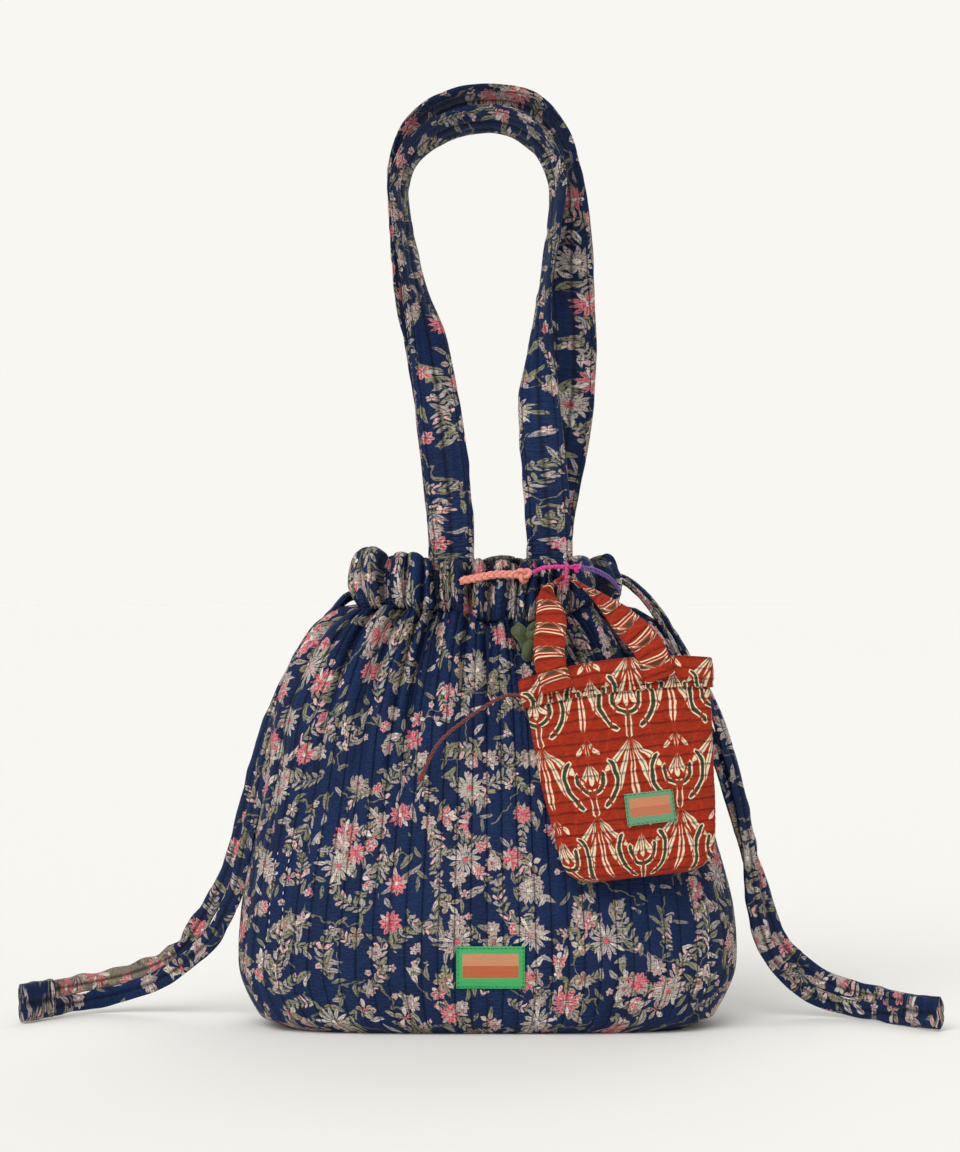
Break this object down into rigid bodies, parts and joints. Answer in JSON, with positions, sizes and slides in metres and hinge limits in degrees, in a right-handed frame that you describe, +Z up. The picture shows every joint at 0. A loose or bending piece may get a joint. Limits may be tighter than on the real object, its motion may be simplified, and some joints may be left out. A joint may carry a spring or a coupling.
{
  "type": "quilted kinchaku drawstring bag",
  "caption": "Quilted cotton drawstring bag that stands on a flat base, with gathered mouth, long handles, drawstring tails and a small charm pouch on its front.",
  "frame": {"origin": "middle of the flat base, on the surface the bag stands on", "axes": "+Z up along the handles, -Y towards the front with the charm, +X to the right seen from the front"},
  "size_m": [0.6689, 0.1718, 0.6846],
  "materials": {
    "navy_quilt": "quilted cotton sateen with a small scattered flower print",
    "navy_strap": "the same quilted cotton cut in flat straps",
    "rust_cotton": "matt printed cotton with running stitch",
    "woven_label": "damask woven label with plain colour fields",
    "salmon_silk": "braided silk cord",
    "magenta_silk": "twisted silk cord",
    "purple_silk": "twisted silk cord",
    "olive_silk": "knotted silk ribbon"
  },
  "bodies": {
    "bag": {"body_shell": "navy_quilt", "casing_front": "navy_quilt", "casing_back": "navy_quilt", "drawstring_left": "navy_strap", "drawstring_right": "navy_strap", "drawstring_left_tail": "navy_strap", "drawstring_right_tail": "navy_strap", "handle_front": "navy_strap", "handle_back": "navy_strap", "front_label": "woven_label", "salmon_braid": "salmon_silk", "magenta_tie_cord": "magenta_silk", "purple_tie_cord": "purple_silk", "olive_ribbon_knot": "olive_silk"},
    "charm_loop": {"charm_hanging_loop": "magenta_silk"},
    "charm": {"charm_pouch": "rust_cotton", "charm_band": "rust_cotton", "charm_strap": "rust_cotton", "charm_label": "woven_label", "charm_drawcord": "rust_cotton"}
  },
  "joints": [
    {"name": "charm_swing", "type": "hinge", "parent": "bag", "child": "charm_loop", "pos_m": [0.056, -0.066, 0.3325], "axis": [-1, 0, 0], "range_deg": [0, 55]},
    {"name": "charm_sway", "type": "hinge", "parent": "charm_loop", "child": "charm", "pos_m": [0.056, -0.069, 0.3237], "axis": [0, -0.9957, 0.0924], "range_deg": [-12, 12]}
  ]
}
